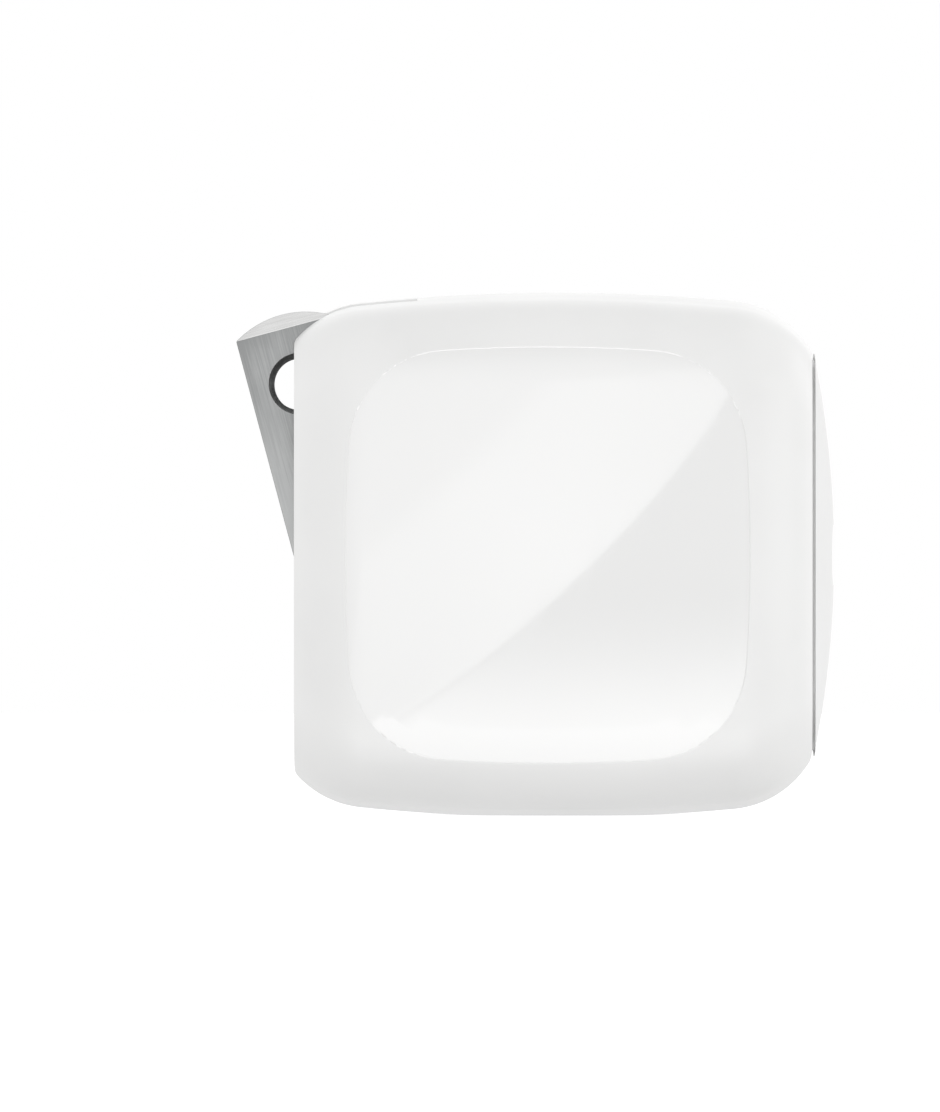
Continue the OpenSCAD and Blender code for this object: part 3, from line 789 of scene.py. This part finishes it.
def blade(name, side):
    """A blade, unfolded: bevelled round tip, square shank, narrow tail, drilled detent hole."""
    half_w, half_t, thin = BLADE_W / 2, BLADE_T / 2, 0.4  # thin is half the tip's thickness
    tip_r = (half_w ** 2 + TIP_RISE ** 2) / (2 * TIP_RISE)
    swing = math.asin(half_w / tip_r)
    tip = arc((TIP_X + tip_r, LINE_Z), tip_r, math.pi + swing, math.pi - swing, 20)
    shank_end, tail_end, tail_half = -0.5, 5.2, 0.8
    body = [(shank_end, LINE_Z + half_w), (shank_end, tail_half), (tail_end, tail_half),
            (tail_end, -tail_half), (shank_end, -tail_half), (shank_end, LINE_Z - half_w)]
    outline = tip + body

    def thickness(x):
        return thin + (half_t - thin) * min((x - TIP_X) / TIP_RISE, 1.0)

    points = [(x, s * thickness(x), z) for s in (1, -1) for x, z in outline]
    n, t = len(outline), len(tip)
    faces = []
    for start in (0, n):
        faces.append([start + i for i in range(t)])
        faces.append([start, start + t - 1] + [start + i for i in range(t, n)])
    faces += [[i, (i + 1) % n, n + (i + 1) % n, n + i] for i in range(n)]
    piece = make(name, points, faces, BLADE_NICKEL, BLADE_BURNISH_AND_HIGHLIGHT)
    # The bevelled tip faces take the lighter metal: burnish and a painted highlight.
    for face in (0, 2):
        piece.data.polygons[face].material_index = 1
    round_edges(piece, 0.07, 2, 12)
    hole = circle(1.0, (0, 0), 64)
    sunk = 0.3  # the countersink round the hole, on both faces
    lead = [(-1.0, sunk + 0.25), (-half_t, sunk), (sunk - half_t, 0.0),
            (half_t - sunk, 0.0), (half_t, sunk), (1.0, sunk + 0.25)]
    centre_x = -(PIVOT_X + HOLE_OUT)
    tool = rings("hole", [[(centre_x + c * (HOLE_R + grow), y, LINE_Z + s * (HOLE_R + grow))
                           for c, s in hole] for y, grow in lead], BLADE_NICKEL)
    combine(piece, [tool])
    piece.data.transform(Matrix.Translation((0, side * BLADE_Y * MM, 0)))
    return smooth(stored(piece), 25)


def rotor():
    """Hubs round both blade roots, barrel, cam and journals, unfolded and then stored."""
    front, back, top, corner = 3.0, 0.5, 4.7, 0.8
    hub_r, hub_half = 3.1, 1.8
    outline = (arc((back - corner, top - corner), corner, 0, math.pi / 2, 8)
               + arc((corner - front, top - corner), corner, math.pi / 2, math.pi, 8)
               + arc((0, 0), hub_r, math.pi - math.acos(front / hub_r), 2 * math.pi, 40))
    outline += arc((0, 0), hub_r, 0, math.acos(back / hub_r), 12)[1:]
    hubs = both_sides(lambda s: round_edges(prism_y(
        "hub", outline, *span(s, BLADE_Y - hub_half, BLADE_Y + hub_half), ROTOR_PLASTIC),
        0.22, 3, 40))
    parts = [prism_y("barrel", circle(1.6), -4.8, 4.8),
             prism_y("cam", circle(1.85, steps=12), -1.8, 1.8)]
    parts += both_sides(lambda s: prism_y("journal", circle(JOURNAL_R), *span(s, 8.0, 10.5)))
    body = combine(hubs[0], [hubs[1]] + parts, "UNION")
    body.name = "rotor_moulding"
    body.data.name = body.name
    return smooth(stored(body), 35)


# ---- USB port -------------------------------------------------------------------------------


def port_shell():
    wall, back, lip = 0.3, 0.6, 0.09
    rolled = [(PORT_MOUTH - lip * (1 - math.sin(a)), -lip * (1 - math.cos(a)))
              for a in (math.radians(d) for d in (0, 30, 60, 90))]
    inner = [(x, -wall - g) for x, g in reversed(rolled)]
    levels = [(PORT_BACK, 0)] + rolled + inner + [(PORT_BACK + back, -wall)]
    return smooth(port_tube("port_shell", levels, PORT_STEEL), 50)


def port_tongue():
    low, high = node_box("usb_tongue")
    half, thin, base_x, nose = 3.35, 0.35, 28.4, 0.25
    outline = [(base_x, -thin), (high[0] - nose, -thin), (high[0], nose - thin),
               (high[0], thin - nose), (high[0] - nose, thin), (base_x, thin)]
    tongue = prism_y("port_tongue", [(x, z + CASE_Z) for x, z in outline], -half, half, PORT_BLACK)
    round_edges(tongue, 0.06, 2)
    base = port_tube("base", [(low[0], -0.3), (base_x + 0.02, -0.3)], PORT_BLACK)
    combine(tongue, [base], "UNION")
    return smooth(tongue, 30)


# ---- Pieces and bodies ----------------------------------------------------------------------


def stand_for(piece, body, slot, *nodes):
    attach(piece, body)
    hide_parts(*nodes)


stand_for(case_shell(), "case", "case_plastic", "housing")
stand_for(cap_shell(), "case", "cap_plastic", "front_cap")
stand_for(port_shell(), "case", "port_steel", "usb_shell")
stand_for(port_tongue(), "case", "port_plastic", "usb_tongue")
stand_for(blade("blade_left_plated", 1), "blades", "blade_metal", "blade_left")
stand_for(blade("blade_right_plated", -1), "blades", "blade_metal", "blade_right")
stand_for(rotor(), "blades", "rotor_plastic", "prong_rotor")

NODE_FINISH = {
    RETAINER_BLACK: ["hinge_retainer"],
    BRIGHT_STEEL: ["retainer_screws", "detent_spring", "transformer_pins"],
    BRONZE: ["contact_spring_left", "contact_spring_right"],
    BOARD_GREEN: ["main_pcb", "output_pcb"],
    GOLD: ["usb_contacts"],
    FERRITE: ["transformer_core_lower", "transformer_core_upper", "choke_core"],
    BOBBIN_BROWN: ["transformer_bobbin", "fuse"],
    COPPER_TURNS: ["transformer_winding"],
    CHOKE_WIRE: ["choke_windings"],
    TAPE_YELLOW: ["transformer_tape"],
    SLEEVE_BLUE: ["bulk_capacitor_1", "bulk_capacitor_2"],
    ALUMINIUM: ["output_capacitor", "heat_spreader"],
    FILM_YELLOW: ["x_capacitor"],
    CERAMIC_BLUE: ["y_capacitor"],
    CHIP_BLACK: ["bridge_rectifier", "power_switch", "sync_rectifier", "optocoupler",
                 "pd_controller"],
    CHIP_TAN: ["smd_passives"],
    PAD_GREY: ["thermal_pad"],
    SHEET_FILM: ["insulation_sheet"]}
for finish, nodes in NODE_FINISH.items():
    for node in nodes:
        for place in frame["nodes"][node].material_slots:
            place.material = finish

# ---- Studio ---------------------------------------------------------------------------------

CENTRE = ((case_low[0] + CAP_APEX) / 2, 0, CASE_Z)
FRAME_HEIGHT = 70.38  # mm of the object's middle plane that the picture's height shows
LENS, SENSOR = 1200.0, 36.0
CAMERA_DISTANCE = FRAME_HEIGHT * LENS / SENSOR
CAMERA_X, CAMERA_Z = 11.08, 2.69


def staged(name, points, faces, material):
    mesh = bpy.data.meshes.new(name)
    mesh.from_pydata([Vector(p) * MM for p in points], [], faces)
    mesh.materials.append(material)
    piece = bpy.data.objects.new(name, mesh)
    bpy.context.scene.collection.objects.link(piece)
    return piece


def studio_floor():
    """A pale sheet that takes shadows. The world's lower half stands for the light it returns."""
    f = Finish("studio_floor", 0.9, Specular_IOR_Level=0.1, Emission_Color=(1, 1, 1, 1),
               Emission_Strength=0.45)
    f.colours(f.noise(0.02), (0.3, (0.88, 0.88, 0.88)), (0.7, (0.90, 0.90, 0.90)))
    edge = [(1500 * c, 1500 * s, FOOT_Z) for c, s in circle(1.0, (0, 0), 96)]
    floor = staged("studio_floor", edge, [list(range(len(edge)))], f.material)
    floor.visible_diffuse = False
    floor.visible_glossy = False
    floor.visible_shadow = False


def aim(item, place, target):
    """Puts a lamp or camera at place, in mm, looking at target."""
    direction = Vector(target) - Vector(place)
    item.matrix_world = (Matrix.Translation(Vector(place) * MM)
                         @ direction.to_track_quat("-Z", "Y").to_matrix().to_4x4())


def shade_lamp(lamp, *ramps):
    """Varies a lamp over its face. Each ramp is (what, from_mm, to_mm, from_share, to_share),
    where what is "Z" for the height or "KEY" for the distance from the key lamp's middle."""
    lamp.use_nodes = True
    tree = lamp.node_tree
    place = tree.nodes.new("ShaderNodeNewGeometry").outputs["Position"]
    strength = None
    for what, low, high, low_share, high_share in ramps:
        ramp = tree.nodes.new("ShaderNodeMapRange")
        ramp.interpolation_type = "SMOOTHSTEP"
        if what == "Z":
            split = tree.nodes.new("ShaderNodeSeparateXYZ")
            tree.links.new(place, split.inputs["Vector"])
            measured = split.outputs["Z"]
        else:
            distance = tree.nodes.new("ShaderNodeVectorMath")
            distance.operation = "DISTANCE"
            distance.inputs[1].default_value = Vector(KEY_PLACE) * MM
            tree.links.new(place, distance.inputs[0])
            measured = distance.outputs["Value"]
        for socket, value in (("From Min", low * MM), ("From Max", high * MM),
                              ("To Min", low_share), ("To Max", high_share)):
            ramp.inputs[socket].default_value = value
        tree.links.new(measured, ramp.inputs["Value"])
        if strength:
            both = tree.nodes.new("ShaderNodeMath")
            both.operation = "MULTIPLY"
            tree.links.new(strength, both.inputs[0])
            tree.links.new(ramp.outputs["Result"], both.inputs[1])
            strength = both.outputs["Value"]
        else:
            strength = ramp.outputs["Result"]
    tree.links.new(strength, tree.nodes["Emission"].inputs["Strength"])


def softbox(name, place, target, size, radiance, spread=180, shape="RECTANGLE"):
    """A soft area lamp. A narrow spread makes it fade away from its axis."""
    lamp = bpy.data.lights.new(name, "AREA")
    lamp.shape = shape
    lamp.size = lamp.size_y = size * MM
    lamp.spread = math.radians(spread)
    area = lamp.size ** 2 * (math.pi / 4 if shape == "DISK" else 1)
    half = lamp.spread / 2
    focus = 1.0 if spread == 180 else 1 - half / math.tan(half)
    lamp.energy = radiance * math.pi * area * focus
    item = bpy.data.objects.new(name, lamp)
    bpy.context.scene.collection.objects.link(item)
    item.visible_camera = False
    aim(item, place, target)
    return item


def studio_world(seen, *stops):
    """White to the eye. As light, its strength follows the height: (height, strength) stops,
    where height is -1 straight down and 1 straight up."""
    world = bpy.data.worlds.new("studio")
    world.use_nodes = True
    tree = world.node_tree
    backdrop = tree.nodes["Background"]
    backdrop.inputs["Color"].default_value = (1, 1, 1, 1)
    backdrop.inputs["Strength"].default_value = seen
    ambient = tree.nodes.new("ShaderNodeBackground")
    split = tree.nodes.new("ShaderNodeSeparateXYZ")
    ramp = tree.nodes.new("ShaderNodeValToRGB")
    level = tree.nodes.new("ShaderNodeMapRange")
    level.inputs["From Min"].default_value = -1.0
    while len(ramp.color_ramp.elements) < len(stops):
        ramp.color_ramp.elements.new(0.5)
    for element, (height, strength) in zip(ramp.color_ramp.elements, stops):
        element.position = (height + 1) / 2
        element.color = (strength, strength, strength, 1)
    path = tree.nodes.new("ShaderNodeLightPath")
    mix = tree.nodes.new("ShaderNodeMixShader")
    direction = tree.nodes.new("ShaderNodeTexCoord").outputs["Generated"]
    tree.links.new(direction, split.inputs["Vector"])
    tree.links.new(split.outputs["Z"], level.inputs["Value"])
    tree.links.new(level.outputs["Result"], ramp.inputs["Fac"])
    tree.links.new(ramp.outputs["Color"], ambient.inputs["Color"])
    tree.links.new(path.outputs["Is Camera Ray"], mix.inputs["Fac"])
    tree.links.new(ambient.outputs["Background"], mix.inputs[1])
    tree.links.new(backdrop.outputs["Background"], mix.inputs[2])
    tree.links.new(mix.outputs["Shader"], tree.nodes["World Output"].inputs["Surface"])
    bpy.context.scene.world = world
    bpy.context.scene.view_settings.view_transform = "Standard"


KEY_PLACE = (-695, -800, 746)
KEY_RADIUS = 1058

studio_floor()
studio_world(1.0, (-1.0, 0.77), (-0.1, 0.915), (0.1, 0.92), (1.0, 0.9))
# The round edge of this one is the curved diagonal that the polished side mirrors. A step in
# its strength, nearer its middle, gives the fainter line beyond the diagonal.
key = softbox("key", KEY_PLACE, (KEY_PLACE[0], 0, KEY_PLACE[2]), 2 * KEY_RADIUS, 0.97, 90, "DISK")
shade_lamp(key.data, ("KEY", 900, 932, 0.72, 1))
# A low glow for the glossy finishes alone, such as a lit sweep in front of the object gives.
# It starts outside the key lamp's edge and grows downward.
low_glow = softbox("low_glow", (80, -795, -590), (80, 0, -590), 1100, 1.4)
low_glow.visible_diffuse = False
shade_lamp(low_glow.data, ("Z", -30, -190, 0, 1),
           ("KEY", KEY_RADIUS - 8, KEY_RADIUS + 10, 0, 1))
softbox("top", (10, 500, 230), CENTRE, 420, 0.42)
softbox("left", (-560, 100, 60), CENTRE, 380, 0.5)
softbox("right", (560, -250, 60), CENTRE, 380, 0.97)
softbox("right_rear", (560, 300, 120), CENTRE, 380, 0.72)

camera_data = bpy.data.cameras.new("camera")
camera_data.lens = LENS
camera_data.sensor_width = SENSOR
camera_data.clip_start, camera_data.clip_end = 0.01, 10
camera = bpy.data.objects.new("camera", camera_data)
bpy.context.scene.collection.objects.link(camera)
aim(camera, (CAMERA_X, -CAMERA_DISTANCE, CAMERA_Z), (CAMERA_X, 0, CAMERA_Z))
bpy.context.scene.camera = camera
